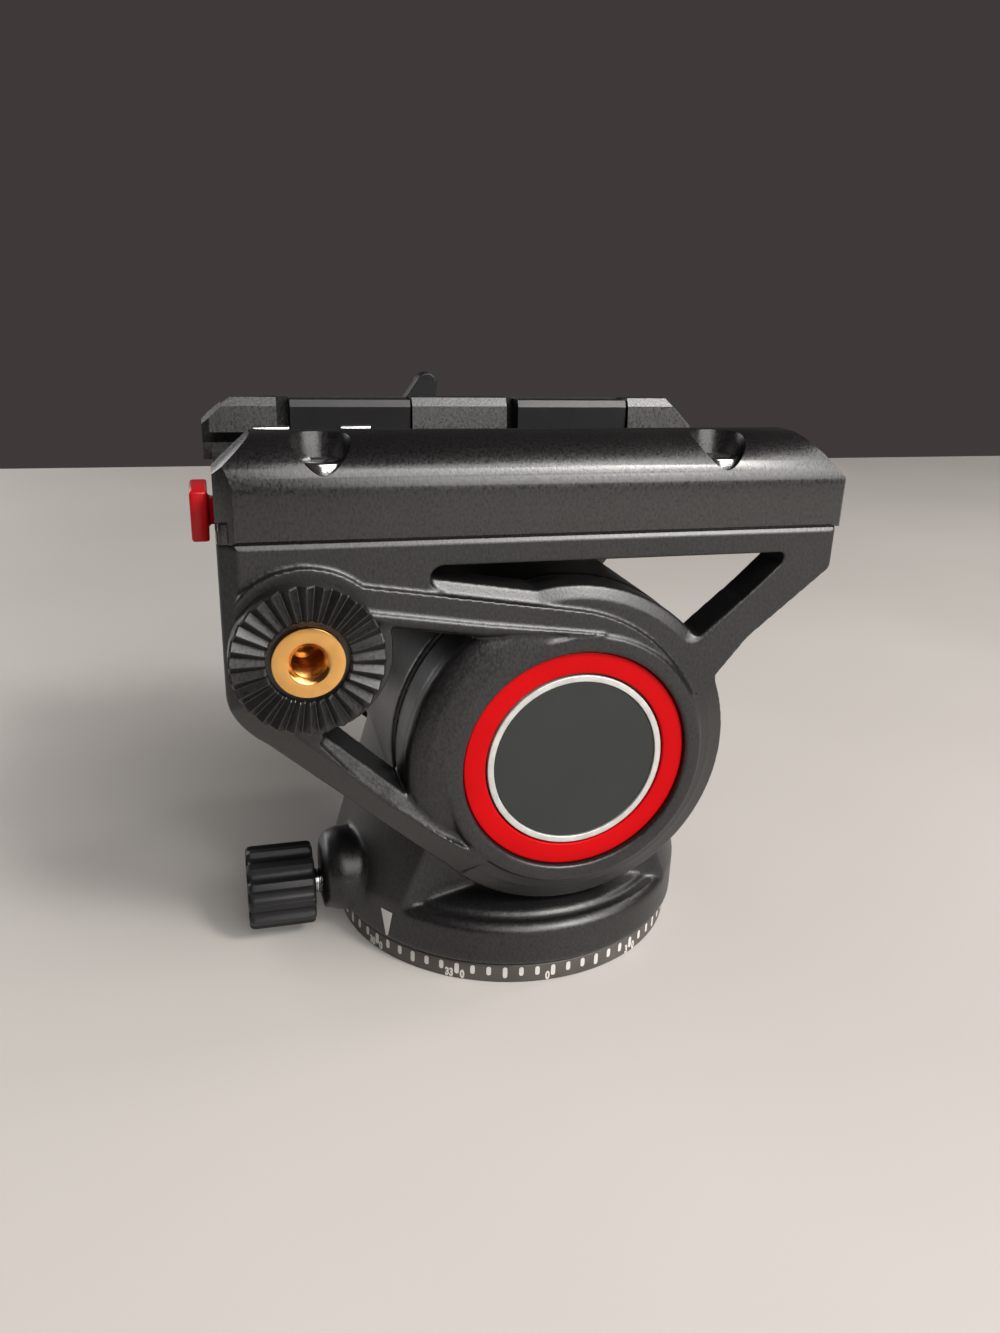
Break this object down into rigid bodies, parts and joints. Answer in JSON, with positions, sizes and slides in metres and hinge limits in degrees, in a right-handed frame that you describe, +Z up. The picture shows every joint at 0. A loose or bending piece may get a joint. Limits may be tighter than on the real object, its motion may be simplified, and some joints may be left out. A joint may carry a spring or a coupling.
{
  "type": "fluid video head",
  "caption": "Fluid video head: panning foot with dial, damped tilt hub between cast cheeks, toothed handle mounts and a grooved deck that clamps a sliding camera plate.",
  "frame": {"origin": "centre of the foot's underside, on the pan axis, at the mouth of the tripod thread", "axes": "+Z up along the pan axis, +X to the front (camera looks along it), +Y to the tilt lock knob's side"},
  "size_m": [0.1045, 0.0899, 0.1017],
  "materials": {
    "casting": "fine-textured black powder coat on cast alloy",
    "rail": "satin black coat on machined alloy",
    "dial": "black anodised, white printed marks",
    "alloy": "plain machined alloy",
    "steel": "bright turned steel",
    "bronze": "plain bearing bronze",
    "brass": "polished brass",
    "slip": "slippery white plastic",
    "knob_plastic": "black moulded plastic",
    "lever_metal": "black coat",
    "red_metal": "bright red anodised",
    "pale_metal": "satin pale metal",
    "badge_dark": "dark satin",
    "red_plastic": "red moulded plastic"
  },
  "bodies": {
    "base": {"base_plate": "alloy", "scale_ring": "dial", "tripod_insert": "steel", "pan_spindle": "steel", "pan_thrust_washer": "slip", "pan_nut": "steel"},
    "pan_body": {"pan_housing": "casting", "pan_bush": "bronze", "tilt_axle": "steel"},
    "pan_plug": {"pan_brake_plug": "bronze"},
    "pan_knob": {"pan_lock_knob": "knob_plastic", "pan_lock_screw": "steel"},
    "tilt_frame": {"near_cheek": "casting", "far_cheek": "casting", "deck_bridge": "rail", "near_rail": "rail", "far_rail": "rail", "rail_screws": "steel", "accent_ring": "red_metal", "badge_ring": "pale_metal", "badge_disc": "badge_dark", "near_rosette": "casting", "far_rosette": "casting", "near_handle_insert": "brass", "far_handle_insert": "brass", "near_tilt_bush": "bronze", "far_tilt_bush": "bronze", "near_drag_rotor": "alloy", "far_drag_rotor": "alloy", "pin_spring": "steel"},
    "button": {"release_button": "red_plastic"},
    "pin": {"catch_pin": "steel"},
    "lever": {"plate_lock_lever": "lever_metal", "lever_stud": "steel"},
    "jaws": {"clamp_jaws": "lever_metal"},
    "tilt_washer": {"tilt_brake_washer": "bronze"},
    "tilt_knob": {"tilt_lock_knob": "knob_plastic", "tilt_knob_insert": "brass"}
  },
  "joints": [
    {"name": "pan", "type": "hinge", "parent": "base", "child": "pan_body", "pos_m": [0, 0, 0], "axis": [0, 0, 1], "continuous": true},
    {"name": "tilt", "type": "hinge", "parent": "pan_body", "child": "tilt_frame", "pos_m": [0.002, 0, 0.0445], "axis": [0, 1, 0], "range_deg": [-45, 85]},
    {"name": "pan_lock", "type": "hinge", "parent": "pan_body", "child": "pan_knob", "pos_m": [-0.04, -0.007, 0.01], "axis": [1, 0, 0], "range_deg": [0, 112]},
    {"name": "pan_brake", "type": "slide", "parent": "pan_body", "child": "pan_plug", "axis": [1, 0, 0], "range_m": [0, 0.00025]},
    {"name": "tilt_lock", "type": "hinge", "parent": "pan_body", "child": "tilt_knob", "pos_m": [0.002, 0.0372, 0.0445], "axis": [0, 1, 0], "range_deg": [0, 90]},
    {"name": "tilt_brake", "type": "slide", "parent": "pan_body", "child": "tilt_washer", "axis": [0, -1, 0], "range_m": [0, 0.00025]},
    {"name": "plate_lock", "type": "hinge", "parent": "tilt_frame", "child": "lever", "pos_m": [-0.013, 0.0358, 0.0892], "axis": [0, 1, 0], "range_deg": [0, 180]},
    {"name": "plate_clamp", "type": "slide", "parent": "tilt_frame", "child": "jaws", "axis": [0, -1, 0], "range_m": [0, 0.0005]},
    {"name": "release", "type": "slide", "parent": "tilt_frame", "child": "button", "axis": [1, 0, 0], "range_m": [0, 0.0022], "stiffness_N_per_m": 400, "springref_m": -0.002},
    {"name": "catch", "type": "slide", "parent": "tilt_frame", "child": "pin", "axis": [0, 0, -1], "range_m": [0, 0.0022], "deforming": ["pin_spring"]}
  ],
  "couplings": [
    {"joint": "pan_lock", "follows": "pan_brake", "rad_per_m": 7818},
    {"joint": "tilt_lock", "follows": "tilt_brake", "rad_per_m": 6283},
    {"joint": "plate_lock", "follows": "plate_clamp", "rad_per_m": 6283},
    {"joint": "catch", "follows": "release", "ratio": 1}
  ]
}
